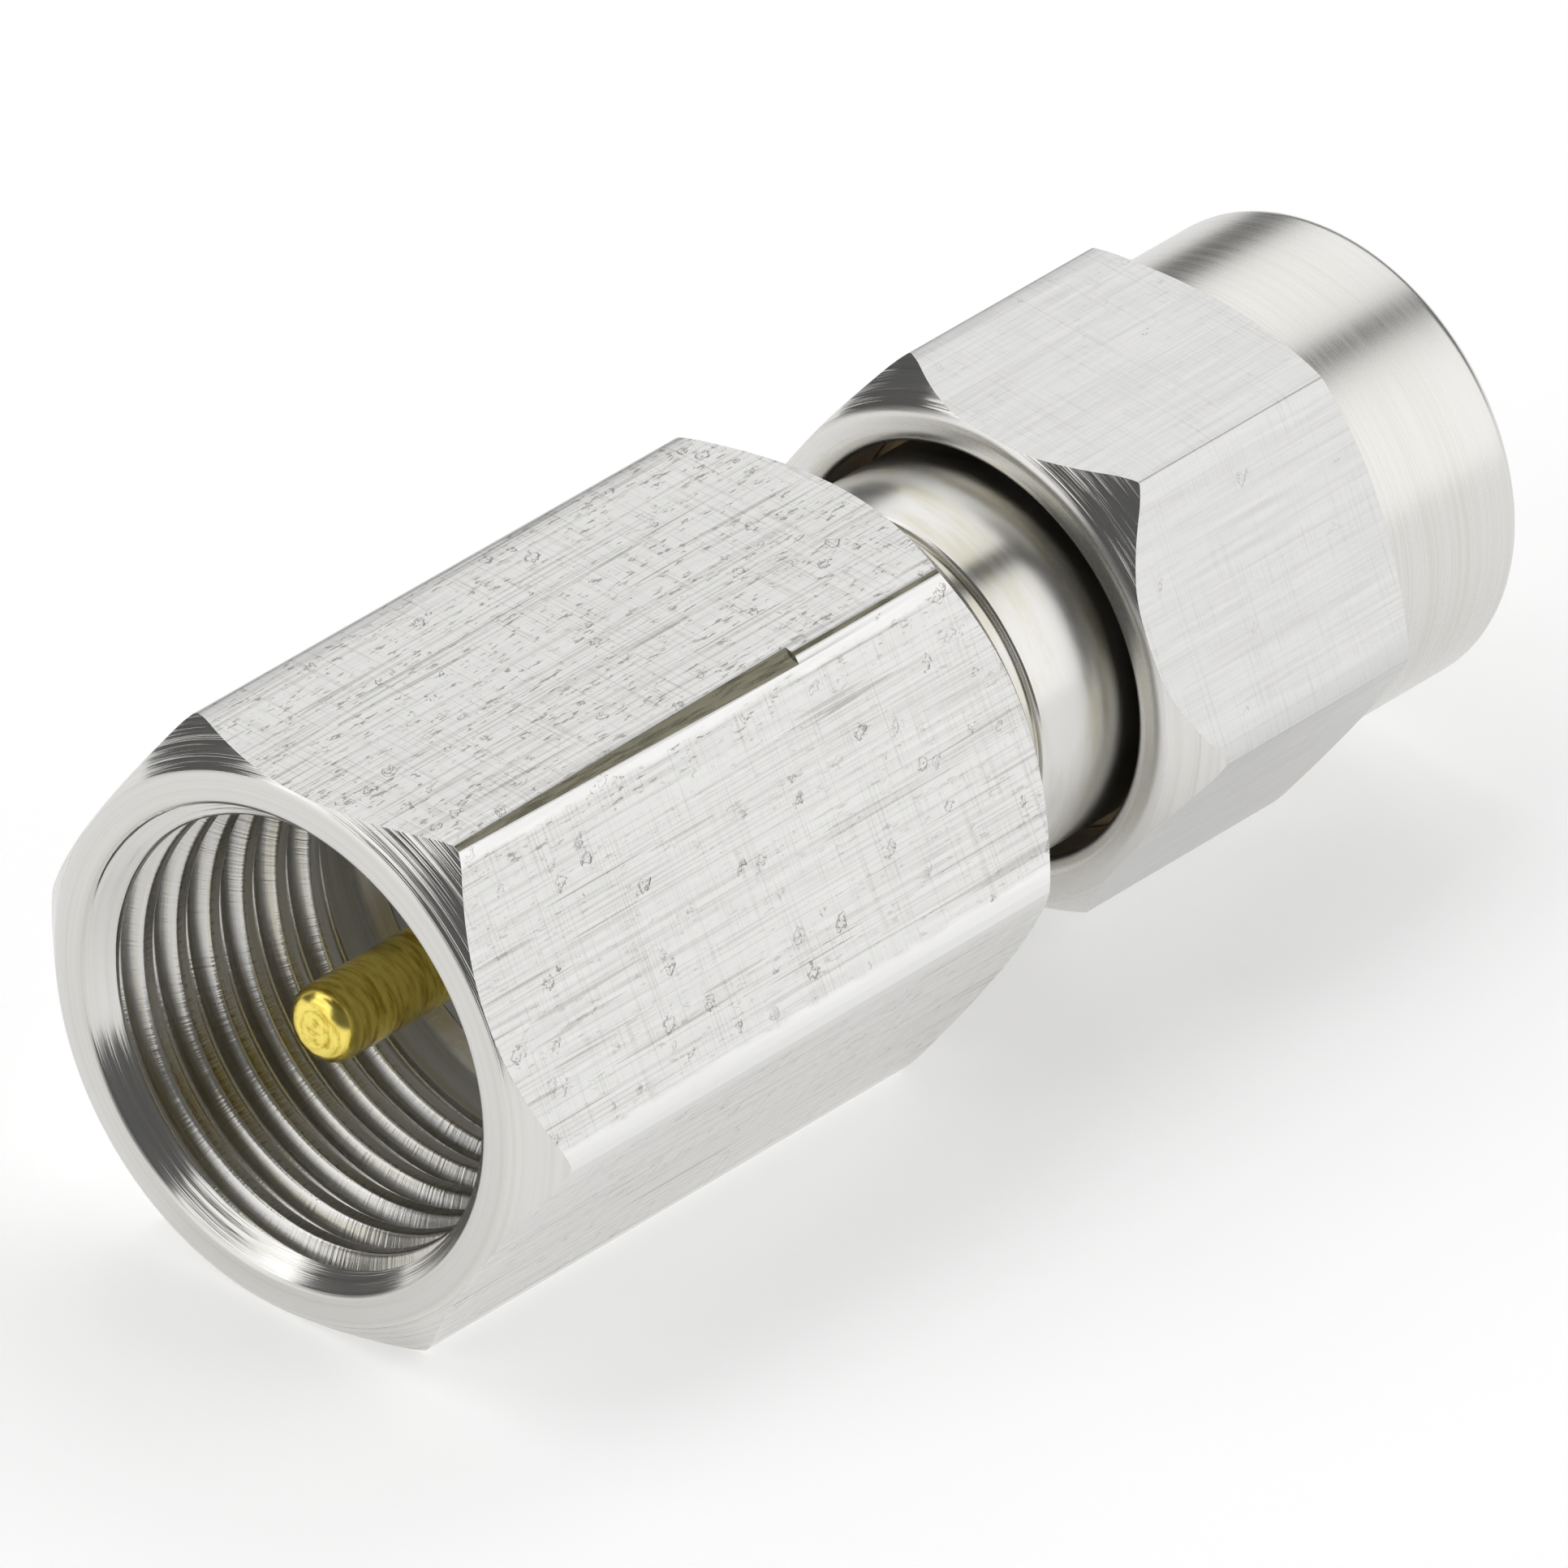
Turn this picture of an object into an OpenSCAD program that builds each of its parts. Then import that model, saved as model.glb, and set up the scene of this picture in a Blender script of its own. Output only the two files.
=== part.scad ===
// Straight coaxial adapter: FME plug on a fixed hex body, SMA plug with a captive coupling nut.
// The axis runs along X from the FME mouth at the origin to the nose of the nut, and one flat of
// the hex body faces down.

/* [Hex body] */
// Width across the flats of the hex body
hex_af = 9; // [8.8:0.1:11]
// Length of the hex body, from its mouth to its rear face
hex_len = 12.4; // [11.6:0.1:16]
// Radial amount taken off the sharp hex edges
hex_edge_break = 0.06; // [0.02:0.01:0.2]
// How far the turned face at the mouth lies inside the flats
lip_inset = 0.05; // [0.01:0.01:0.1]
// How far the turned face at the rear lies inside the flats
rear_inset = 0.17; // [0.05:0.01:0.4]
// Angle of the corner chamfers, from the end faces
hex_chamfer_angle = 45; // [25:1:55]
// Radius of both edges of the lip
lip_round = 0.14; // [0.05:0.01:0.2]

/* [FME socket] */
// Nominal diameter of the socket's thread
fme_thread_d = 8; // [7.6:0.05:8.2]
// Pitch of the socket's thread
fme_pitch = 0.75; // [0.5:0.05:1]
// Length of the threaded wall
fme_thread_len = 4.6; // [3.5:0.1:4.9]
// Radial depth of the run-out groove beyond the thread
fme_relief = 0.06; // [0.02:0.01:0.12]
// Depth of the socket, from its mouth to its floor
socket_depth = 6.4; // [6:0.1:7.2]

/* [Neck] */
// Diameter of the neck
neck_d = 6.4; // [6:0.05:6.5]
// Radial depth of the turned relief behind the hex
neck_relief = 0.1; // [0.09:0.01:0.4]
// Length of the turned relief behind the hex
neck_relief_len = 1.3; // [0.6:0.1:2]
// Radius of the neck's edges
neck_edge_round = 0.07; // [0.03:0.01:0.08]
// Land of the neck in front of the ring's groove
neck_land = 0.4; // [0.3:0.05:1]
// Wall left under the ring's groove
groove_wall = 0.4; // [0.25:0.005:0.5]
// Diameter of the outer-contact shell
shell_d = 4.58; // [4.5:0.01:4.8]
// Wall of the outer-contact shell
shell_wall = 0.225; // [0.15:0.005:0.3]
// Length of the shell, from the gasket's seat to the reference plane
shell_len = 2.65; // [2.3:0.05:3]
// Chamfer at the shell's end
shell_chamfer = 0.1; // [0.04:0.01:0.15]

/* [Coupling nut] */
// Width across the flats of the nut
nut_af = 8; // [7.7:0.1:9]
// Length of the nut
nut_len = 8.6; // [8:0.1:11]
// Length of the nut's hex, chamfers included
nut_hex_len = 5.55; // [4.5:0.05:7]
// Bare length of neck between the hex body and the nut
nut_gap = 3.1; // [2.4:0.1:5]
// Radial amount taken off the nut's sharp edges
nut_edge_break = 0.06; // [0.02:0.01:0.15]
// Angle of the nut's corner chamfer beside the neck, from the end face
nut_rear_chamfer_angle = 58; // [30:1:62]
// Angle of the nut's corner chamfer beside the nose, from the end face
nut_nose_chamfer_angle = 30; // [20:1:45]
// Diameter of the round nose
nose_d = 7.76; // [7.2:0.02:7.9]
// Radius of the nose's end edge
nose_round = 0.28; // [0.1:0.02:0.35]
// Diameter of the nut's bore around the neck
nut_bore_d = 6.8; // [6.65:0.05:6.9]
// Radius of the bore's mouth
nut_mouth_round = 0.3; // [0.1:0.02:0.35]
// Nominal diameter of the nut's thread
sma_thread_d = 6.35; // [6.2:0.05:6.4]
// Pitch of the nut's thread
sma_pitch = 0.7056; // [0.5:0.0001:0.8]
// Plain bore between the gasket and the thread
nut_relief_len = 0.8; // [0.4:0.1:1.4]
// Turn of the nut about the axis, as it lies
nut_turn = 3; // [0:1:59]

/* [Snap ring and gasket] */
// Outer diameter of the snap ring
ring_od = 7.2; // [7.1:0.05:7.3]
// Width of the snap ring along the axis
ring_w = 0.6; // [0.4:0.05:0.8]
// Opening of the split in the snap ring
ring_split = 1.3; // [0.6:0.1:2]
// Distance of the ring from the nut's rear face
ring_setback = 1.5; // [1:0.1:2.2]
// Radial width of the gasket
gasket_band = 0.39; // [0.3:0.01:0.42]
// Thickness of the gasket along the axis
gasket_w = 0.6; // [0.4:0.05:0.9]
// Radius of the gasket's outer edges
gasket_round = 0.12; // [0.05:0.01:0.18]

/* [Centre contact] */
// Diameter of the FME pin
fme_pin_d = 1.27; // [1.1:0.01:1.4]
// How far the FME pin's tip stands behind the mouth
fme_pin_recess = 0.76; // [0.3:0.02:1.5]
// Radius of the FME pin's tip
fme_tip_round = 0.26; // [0.1:0.01:0.3]
// Diameter of the contact inside the FME insulator
fme_shank_d = 1.6; // [1.58:0.01:1.8]
// Diameter of the contact inside the SMA insulator
sma_shank_d = 1.27; // [1.24:0.01:1.6]
// Diameter of the SMA pin
sma_pin_d = 0.92; // [0.8:0.01:1]
// Length of the SMA pin beyond the reference plane
sma_pin_len = 2.3; // [1.8:0.05:2.5]
// Radius of the SMA pin's tip
sma_tip_round = 0.3; // [0.1:0.01:0.35]
// Diameter of the collar that holds the contact between the insulators
collar_d = 2.2; // [1.8:0.05:2.8]

/* [Insulators] */
// Diameter of the FME insulator
fme_insulator_d = 7.6; // [6.6:0.05:7.8]
// Length of the FME insulator
fme_insulator_len = 3.6; // [2.5:0.1:4]
// Diameter of the hole in the web between the insulators
web_hole_d = 3.4; // [3.1:0.05:3.7]
// Thickness of the web between the insulators
web_len = 1; // [0.6:0.1:1.4]

/* [Fits] */
// Travel of the loose nut along the axis, each way
float_travel = 0.2; // [0.1:0.05:0.25]
// Running gap around the snap ring
ring_gap = 0.06; // [0.03:0.01:0.09]
// Radial gap under the snap ring and over it
ring_radial_gap = 0.08; // [0.05:0.01:0.1]
// Gap left around a piece that is pressed or pushed in
seat_gap = 0.015; // [0.005:0.005:0.02]

/* [Hidden] */
$fn = 96;

// Overshoot of a cut past the face that it opens
over = 1;
// An internal 60 degree thread is shallower than its pitch by this factor
thread_depth_factor = 5 * sqrt(3) / 16;

// Hex body, as radii and as distances along the axis
hex_edge_r = hex_af / 2 / cos(30) - hex_edge_break;
lip_r = hex_af / 2 - lip_inset;
rear_r = hex_af / 2 - rear_inset;
fme_mouth_r = fme_thread_d / 2;
fme_minor_r = fme_mouth_r - fme_pitch * thread_depth_factor;
fme_relief_r = fme_mouth_r + fme_relief;
fme_thread_x = fme_mouth_r - fme_minor_r;
fme_relief_x = fme_thread_x + fme_thread_len;
web_x = socket_depth + fme_insulator_len;
web_end_x = web_x + web_len;

// Neck and shell
neck_r = neck_d / 2;
neck_x = hex_len + neck_relief_len;
nut_x = hex_len + nut_gap;
ring_x = nut_x + ring_setback;
ring_end_x = ring_x + ring_w;
ring_groove_x = ring_x - ring_gap - float_travel;
ring_groove_end_x = ring_end_x + ring_gap + float_travel;
gasket_x = ring_groove_end_x + neck_land;
gasket_end_x = gasket_x + gasket_w;
plane_x = gasket_x + shell_len;
shell_r = shell_d / 2;
fme_insulator_r = fme_insulator_d / 2;
fme_seat_r = fme_insulator_r + seat_gap;
sma_seat_r = shell_r - shell_wall;
sma_insulator_r = sma_seat_r - seat_gap;
ring_groove_r = sma_seat_r + groove_wall;
ring_inner_r = ring_groove_r + ring_radial_gap;
ring_outer_r = ring_od / 2;

// Coupling nut
nut_end_x = nut_x + nut_len;
nut_shoulder_x = nut_x + nut_hex_len;
nut_edge_r = nut_af / 2 / cos(30) - nut_edge_break;
nut_bore_r = nut_bore_d / 2;
nut_groove_r = ring_outer_r + ring_radial_gap;
nose_r = nose_d / 2;
sma_mouth_r = sma_thread_d / 2;
sma_minor_r = sma_mouth_r - sma_pitch * thread_depth_factor;
sma_thread_x = gasket_end_x + nut_relief_len;
sma_thread_end_x = nut_end_x - (sma_mouth_r - sma_minor_r);

// Centre contact
fme_pin_r = fme_pin_d / 2;
fme_shank_r = fme_shank_d / 2;
sma_shank_r = sma_shank_d / 2;
sma_pin_r = sma_pin_d / 2;
collar_r = collar_d / 2;
sma_tip_x = plane_x + sma_pin_len;

function unit(v) = v / norm(v);

// A turned solid: the profile's X is the radius and its Y the distance along the axis
module turned() {
    rotate([0, 90, 0]) rotate_extrude() children();
}

// A length of hex bar along the axis, flat side down before its turn
module hex_bar(af, x, len, turn = 0) {
    rotate([0, 90, 0]) translate([0, 0, x]) rotate(30 + turn)
        cylinder(r = af / 2 / cos(30), h = len, $fn = 6);
}

// What a fillet of radius r takes off the corner p of a profile, between its neighbours
module corner_waste(before, p, after, r) {
    u = unit(before - p);
    v = unit(after - p);
    inward = unit(u + v);
    half = acos(u * v) / 2;
    centre = p + inward * r / sin(half);
    reach = r / tan(half);
    difference() {
        polygon([p - inward * r, p + u * reach, centre, p + v * reach]);
        translate(centre) circle(r);
    }
}

// Envelope that turns both ends of the hex body's corners to chamfers
module hex_envelope() {
    mouth = [lip_r, 0];
    front = [hex_edge_r, (hex_edge_r - lip_r) * tan(hex_chamfer_angle)];
    back = [hex_edge_r, hex_len - (hex_edge_r - rear_r) * tan(hex_chamfer_angle)];
    difference() {
        polygon([[0, 0], mouth, front, back, [rear_r, hex_len], [0, hex_len]]);
        corner_waste([0, 0], mouth, front, lip_round);
    }
}

// Neck with its relief, snap ring groove, gasket seat and thin shell
module neck_profile() {
    relief_r = neck_r - neck_relief;
    shoulder = [neck_r, neck_x];
    groove_edge = [neck_r, ring_groove_x];
    seat_edge = [neck_r, gasket_x];
    difference() {
        polygon([
            [0, socket_depth], [relief_r, socket_depth], [relief_r, neck_x], shoulder, groove_edge,
            [ring_groove_r, ring_groove_x], [ring_groove_r, ring_groove_end_x],
            [neck_r, ring_groove_end_x], seat_edge, [shell_r, gasket_x],
            [shell_r, plane_x - shell_chamfer], [shell_r - shell_chamfer, plane_x], [0, plane_x],
        ]);
        corner_waste([0, neck_x], shoulder, groove_edge, neck_edge_round);
        corner_waste([neck_r, ring_groove_end_x], seat_edge, [0, gasket_x], neck_edge_round);
    }
}

// Socket, insulator seats and the web between them, cut out of the hex body from end to end
module socket_profile() {
    mouth = [fme_mouth_r, 0];
    thread_start = [fme_minor_r, fme_thread_x];
    run_out = fme_relief_r - fme_minor_r;
    polygon([
        [0, -over], [fme_mouth_r, -over], mouth, thread_start, [fme_minor_r, fme_relief_x],
        [fme_relief_r, fme_relief_x + run_out], [fme_relief_r, socket_depth],
        [fme_seat_r, socket_depth], [fme_seat_r, web_x], [web_hole_d / 2, web_x],
        [web_hole_d / 2, web_end_x], [sma_seat_r, web_end_x], [sma_seat_r, plane_x + over],
        [0, plane_x + over],
    ]);
    corner_waste([lip_r, 0], mouth, thread_start, lip_round);
}

// Turned from hex bar in one piece: FME socket, neck and SMA outer contact
module hex_body() {
    color("silver") difference() {
        union() {
            intersection() {
                hex_bar(hex_af, 0, hex_len);
                turned() hex_envelope();
            }
            turned() neck_profile();
        }
        turned() socket_profile();
    }
}

// One gold-plated contact with a pin at each end and a collar in the web
module centre_contact() {
    fme_tip = [fme_pin_r, fme_pin_recess];
    sma_tip = [sma_pin_r, sma_tip_x];
    collar_x = web_x + seat_gap;
    collar_end_x = web_end_x - seat_gap;
    color("gold") turned() difference() {
        polygon([
            [0, fme_pin_recess], fme_tip, [fme_pin_r, socket_depth], [fme_shank_r, socket_depth],
            [fme_shank_r, collar_x], [collar_r, collar_x], [collar_r, collar_end_x],
            [sma_shank_r, collar_end_x], [sma_shank_r, plane_x], [sma_pin_r, plane_x], sma_tip,
            [0, sma_tip_x],
        ]);
        corner_waste([0, fme_pin_recess], fme_tip, [fme_pin_r, socket_depth], fme_tip_round);
        corner_waste([sma_pin_r, plane_x], sma_tip, [0, sma_tip_x], sma_tip_round);
    }
}

// Sleeve of insulation around a shank of the contact, between two places on the axis
module insulator(shank_r, outer_r, x, end_x) {
    inner_r = shank_r + seat_gap;
    turned() translate([inner_r, x]) square([outer_r - inner_r, end_x - x]);
}

module fme_insulator() {
    color("whitesmoke") insulator(fme_shank_r, fme_insulator_r, socket_depth, web_x);
}

module sma_insulator() {
    color("whitesmoke") insulator(sma_shank_r, sma_insulator_r, web_end_x, plane_x);
}

// Soft washer around the shell, on its seat at the end of the neck
module gasket() {
    inner_r = shell_r + seat_gap;
    outer_r = inner_r + gasket_band;
    near = [outer_r, gasket_x];
    far = [outer_r, gasket_end_x];
    color("orangered") turned() difference() {
        polygon([[inner_r, gasket_x], near, far, [inner_r, gasket_end_x]]);
        corner_waste([inner_r, gasket_x], near, far, gasket_round);
        corner_waste(near, far, [inner_r, gasket_end_x], gasket_round);
    }
}

// Split spring ring that sits in the neck's groove and in the nut's
module snap_ring() {
    color("goldenrod") difference() {
        turned() translate([ring_inner_r, ring_x]) square([ring_outer_r - ring_inner_r, ring_w]);
        translate([ring_x - over, -ring_split / 2, 0])
            cube([ring_w + 2 * over, ring_split, ring_outer_r + over]);
    }
}

// Envelope of the nut: chamfered hex corners, then the round nose
module nut_envelope() {
    flat_r = nut_af / 2;
    rear = [nut_edge_r, nut_x + (nut_edge_r - flat_r) * tan(nut_rear_chamfer_angle)];
    front = [nut_edge_r, nut_shoulder_x - (nut_edge_r - nose_r) * tan(nut_nose_chamfer_angle)];
    nose_edge = [nose_r, nut_end_x];
    difference() {
        polygon([
            [0, nut_x], [flat_r, nut_x], rear, front, [nose_r, nut_shoulder_x], nose_edge,
            [0, nut_end_x],
        ]);
        corner_waste([nose_r, nut_shoulder_x], nose_edge, [0, nut_end_x], nose_round);
    }
}

// Way through the nut: rounded mouth, plain bore with the ring's groove, then the thread's wall
module nut_bore_profile() {
    mouth = [nut_bore_r, nut_x];
    inside = [nut_bore_r, ring_x - ring_gap];
    lead_in = nut_bore_r - sma_minor_r;
    polygon([
        [0, nut_x - over], [nut_bore_r, nut_x - over], mouth, inside,
        [nut_groove_r, ring_x - ring_gap], [nut_groove_r, ring_end_x + ring_gap],
        [nut_bore_r, ring_end_x + ring_gap], [nut_bore_r, sma_thread_x],
        [sma_minor_r, sma_thread_x + lead_in], [sma_minor_r, sma_thread_end_x],
        [sma_mouth_r, nut_end_x], [sma_mouth_r, nut_end_x + over], [0, nut_end_x + over],
    ]);
    corner_waste([nut_af / 2, nut_x], mouth, inside, nut_mouth_round);
}

// Hex coupling nut that turns freely on the neck
module coupling_nut() {
    color("gainsboro") difference() {
        intersection() {
            hex_bar(nut_af, nut_x, nut_len, nut_turn);
            turned() nut_envelope();
        }
        turned() nut_bore_profile();
    }
}

hex_body();
centre_contact();
fme_insulator();
sma_insulator();
gasket();
snap_ring();
coupling_nut();
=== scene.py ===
"""Dressed model of a straight coaxial adapter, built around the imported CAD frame.

Every new piece is modelled in millimetres at its own place in the frame, and is brought to metres
when its mesh is done. The axis runs along X, from the mouth of the socket to the nose of the nut.
"""

import logging
import math
from dataclasses import dataclass
from enum import Enum
from typing import Callable, Optional, Sequence, Union

import bmesh
import bpy
from mathutils import Matrix, Vector


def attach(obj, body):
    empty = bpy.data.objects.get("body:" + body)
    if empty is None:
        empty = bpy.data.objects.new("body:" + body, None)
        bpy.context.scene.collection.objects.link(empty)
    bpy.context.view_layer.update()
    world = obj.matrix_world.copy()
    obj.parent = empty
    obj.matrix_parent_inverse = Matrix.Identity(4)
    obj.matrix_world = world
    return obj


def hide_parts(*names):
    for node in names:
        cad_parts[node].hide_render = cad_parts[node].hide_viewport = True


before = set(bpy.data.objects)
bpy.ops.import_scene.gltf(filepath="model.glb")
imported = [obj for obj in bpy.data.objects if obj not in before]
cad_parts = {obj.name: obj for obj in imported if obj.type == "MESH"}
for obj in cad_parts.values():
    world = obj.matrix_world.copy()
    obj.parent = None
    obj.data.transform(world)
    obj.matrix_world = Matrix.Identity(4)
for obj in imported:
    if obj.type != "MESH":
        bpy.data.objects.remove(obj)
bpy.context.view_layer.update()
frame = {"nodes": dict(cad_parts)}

log = logging.getLogger("adapter")

MM = 0.001
PHOTO_PX = 1932
SENSOR_MM = 36.0
HEX_SIDES = 6
HEX_STEP = 60.0
WHITE = (1.0, 1.0, 1.0, 1.0)

Pair = tuple[float, float]
Colour = tuple[float, float, float]
Piece = bpy.types.Object
Socket = bpy.types.NodeSocket
Value = Union[float, Socket]
Input = Union[Value, Sequence[float]]


# Modelling


class Join(Enum):
    """How a tool's mesh acts on a piece."""

    COMMON = "INTERSECT"
    CUT = "DIFFERENCE"


class Zone(Enum):
    """The parts of a piece that have finishes of their own."""

    FLAT = "flat"
    EDGE = "edge"
    CHAMFER = "chamfer"
    LIP = "lip"
    LEAD = "lead_in"
    PLAIN = "plain"
    THREAD = "thread"


@dataclass(frozen=True)
class Corner:
    """One corner of a half-section: its place along the axis, its radius and its fillet, in mm."""

    x: float
    r: float
    fillet: float = 0.0


@dataclass(frozen=True)
class Strip:
    """A narrow flat along one edge of a bar: its direction in degrees, its ends and its radii."""

    angle: float
    start: float
    end: float
    radius: float
    end_radius: float


class Bench:
    """The operations of the workbench: drawing, turning, cutting and finishing a mesh."""

    ARC_STEP = math.radians(15)
    SHARP_ANGLE = math.radians(24)
    SMOOTH_ANGLE = math.radians(28)
    MERGE = 1e-5
    ROLL_STEPS = 4
    PLANE_WIDTH = 2.0
    PLANE_DEPTH = 1.0
    HELIX_STEPS = 120
    FACE_WEIGHT = 90

    @staticmethod
    def clear() -> None:
        """Leaves edit mode and deselects everything."""
        active = bpy.context.view_layer.objects.active
        if active is not None and active.mode != "OBJECT":
            bpy.ops.object.mode_set(mode="OBJECT")
        bpy.ops.object.select_all(action="DESELECT")

    @staticmethod
    def choose(piece: Piece) -> None:
        """Makes a piece the only selected object.

        Args:
            piece: The piece.
        """
        Bench.clear()
        bpy.context.view_layer.objects.active = piece
        piece.select_set(True)

    @staticmethod
    def apply(piece: Piece, modifier: bpy.types.Modifier) -> None:
        """Applies a modifier to a piece."""
        Bench.choose(piece)
        bpy.ops.object.modifier_apply(modifier=modifier.name)

    @staticmethod
    def close() -> None:
        """Merges the doubles of the mesh in edit mode, turns its faces outward and leaves it."""
        bpy.ops.mesh.select_all(action="SELECT")
        bpy.ops.mesh.remove_doubles(threshold=Bench.MERGE)
        bpy.ops.mesh.normals_make_consistent(inside=False)
        bpy.ops.object.mode_set(mode="OBJECT")

    @staticmethod
    def arc(before: Vector, here: Vector, after: Vector, radius: float) -> list[Vector]:
        """Rounds one corner of an outline.

        Args:
            before: The corner before it.
            here: The corner itself.
            after: The corner after it.
            radius: Radius of the fillet.

        Returns:
            The points along the fillet.
        """
        u, v = (before - here).normalized(), (after - here).normalized()
        half = u.angle(v) / 2
        centre = here + (u + v).normalized() * radius / math.sin(half)
        reach = radius / math.tan(half)
        start, end = here + u * reach - centre, here + v * reach - centre
        sweep = end.angle_signed(start)
        steps = max(2, math.ceil(abs(sweep) / Bench.ARC_STEP))
        points: list[Vector] = []
        for step in range(steps + 1):
            a = sweep * step / steps
            c, s = math.cos(a), math.sin(a)
            spoke = Vector((start.x * c - start.y * s, start.x * s + start.y * c))
            points.append(centre + spoke)
        return points

    @staticmethod
    def outline(corners: Sequence[Corner]) -> list[Vector]:
        """Turns the corners of a closed half-section into points, with its fillets as arcs.

        Args:
            corners: The corners in order round the section.

        Returns:
            The points, in the plane of the axis and the Z direction.
        """
        sharp = [Vector((corner.x, corner.r)) for corner in corners]
        points: list[Vector] = []
        for i, corner in enumerate(corners):
            if corner.fillet > 0.0:
                after = sharp[(i + 1) % len(sharp)]
                points += Bench.arc(sharp[i - 1], sharp[i], after, corner.fillet)
            else:
                points.append(sharp[i])
        return [Vector((p.x, 0.0, p.y)) for p in points]

    @staticmethod
    def wire(name: str, points: Sequence[Vector]) -> Piece:
        """Draws a closed wire by extruding one vertex from point to point.

        Args:
            name: Name of the new object.
            points: The points in order.

        Returns:
            The object, left in edit mode with all of the wire selected.
        """
        Bench.clear()
        bpy.ops.mesh.primitive_plane_add(size=1.0, location=(0, 0, 0))
        piece = bpy.context.object
        piece.name = piece.data.name = name
        bpy.ops.object.mode_set(mode="EDIT")
        bpy.ops.mesh.select_mode(type="VERT")
        bpy.ops.mesh.select_all(action="SELECT")
        bpy.ops.mesh.merge(type="CENTER")
        bpy.ops.transform.translate(value=points[0])
        for here, there in zip(points, [*points[1:], points[0]]):
            bpy.ops.mesh.extrude_vertices_move(TRANSFORM_OT_translate={"value": there - here})
        bpy.ops.mesh.select_all(action="SELECT")
        bpy.ops.mesh.remove_doubles(threshold=Bench.MERGE)
        return piece

    @staticmethod
    def turn(name: str, corners: Sequence[Corner], steps: int) -> Piece:
        """Turns a half-section about the axis.

        Args:
            name: Name of the new piece.
            corners: The corners of the closed half-section.
            steps: Number of steps in a full turn.

        Returns:
            The turned piece.
        """
        piece = Bench.wire(name, Bench.outline(corners))
        bpy.ops.mesh.spin(steps=steps, angle=math.tau, center=(0, 0, 0), axis=(1, 0, 0))
        Bench.close()
        return piece

    @staticmethod
    def hex_bar(name: str, across_flats: float, span: Pair, turn: float, roll: Pair) -> Piece:
        """Makes a length of drawn hex bar, whose flats roll over a little beside the edges.

        Args:
            name: Name of the new piece.
            across_flats: Width across the flats.
            span: Where the bar starts and ends on the axis.
            turn: Turn about the axis in degrees, from a flat facing down.
            roll: How wide the rolled margin of a flat is, and how far it drops at the edge.

        Returns:
            The bar.
        """
        apothem, (width, fall) = across_flats / 2, roll
        slope = math.tan(math.pi / HEX_SIDES)
        start, end = apothem * slope - width, (apothem - fall) * slope
        parts = [k / Bench.ROLL_STEPS for k in range(Bench.ROLL_STEPS + 1)]
        side = [(start + (end - start) * part, fall * part ** 2) for part in parts]
        across = [(-along, drop) for along, drop in reversed(side[:-1])] + side
        points: list[Vector] = []
        for flat in range(HEX_SIDES):
            spin = Matrix.Rotation(math.radians(turn + HEX_STEP * flat + 90), 3, "X")
            points += [spin @ Vector((span[0], apothem - drop, along)) for along, drop in across]
        bar = Bench.wire(name, points)
        bpy.ops.mesh.edge_face_add()
        length = (span[1] - span[0], 0, 0)
        bpy.ops.mesh.extrude_region_move(TRANSFORM_OT_translate={"value": length})
        Bench.close()
        return bar

    @staticmethod
    def join(piece: Piece, tool: Piece, how: Join) -> None:
        """Cuts a piece with a tool, or keeps what they have in common, and removes the tool.

        Args:
            piece: The piece.
            tool: The tool.
            how: What the tool does.
        """
        modifier = piece.modifiers.new("Join", "BOOLEAN")
        modifier.operation = how.value
        modifier.solver = "EXACT"
        modifier.object = tool
        Bench.apply(piece, modifier)
        bpy.data.objects.remove(tool, do_unlink=True)

    @staticmethod
    def shave(bar: Piece, strip: Strip) -> None:
        """Planes one edge of a bar down to a flat strip.

        Args:
            bar: The bar.
            strip: The strip. Its direction counts from the front towards the top.
        """
        length, rise = strip.end - strip.start, strip.end_radius - strip.radius
        middle_x, middle_r = (strip.start + strip.end) / 2, (strip.radius + strip.end_radius) / 2
        Bench.clear()
        bpy.ops.mesh.primitive_cube_add(
            size=1.0, scale=(math.hypot(length, rise), Bench.PLANE_WIDTH, Bench.PLANE_DEPTH),
            rotation=(0, -math.atan2(rise, length), 0),
            location=(middle_x, 0, middle_r + Bench.PLANE_DEPTH / 2),
        )
        plane = bpy.context.object
        spin = Matrix.Rotation(math.radians(90 - strip.angle), 4, "X")
        plane.matrix_world = spin @ plane.matrix_basis
        Bench.join(bar, plane, Join.CUT)

    @staticmethod
    def helix(name: str, corners: Sequence[Corner], pitch: float, turns: int) -> Piece:
        """Sweeps a section along a right-hand helix about the axis.

        Args:
            name: Name of the new piece.
            corners: The corners of the section at the start of the helix.
            pitch: Advance of each turn.
            turns: Number of turns.

        Returns:
            The swept piece, closed at both ends.
        """
        piece = Bench.wire(name, Bench.outline(corners))
        bpy.ops.object.mode_set(mode="OBJECT")
        screw = piece.modifiers.new("Sweep", "SCREW")
        screw.axis = "X"
        screw.angle = math.tau
        screw.screw_offset = pitch
        screw.iterations = turns
        screw.steps = screw.render_steps = Bench.HELIX_STEPS
        Bench.apply(piece, screw)
        bpy.ops.object.mode_set(mode="EDIT")
        bpy.ops.mesh.select_all(action="SELECT")
        bpy.ops.mesh.remove_doubles(threshold=Bench.MERGE)
        bpy.ops.mesh.fill_holes(sides=0)
        Bench.close()
        return piece

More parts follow.
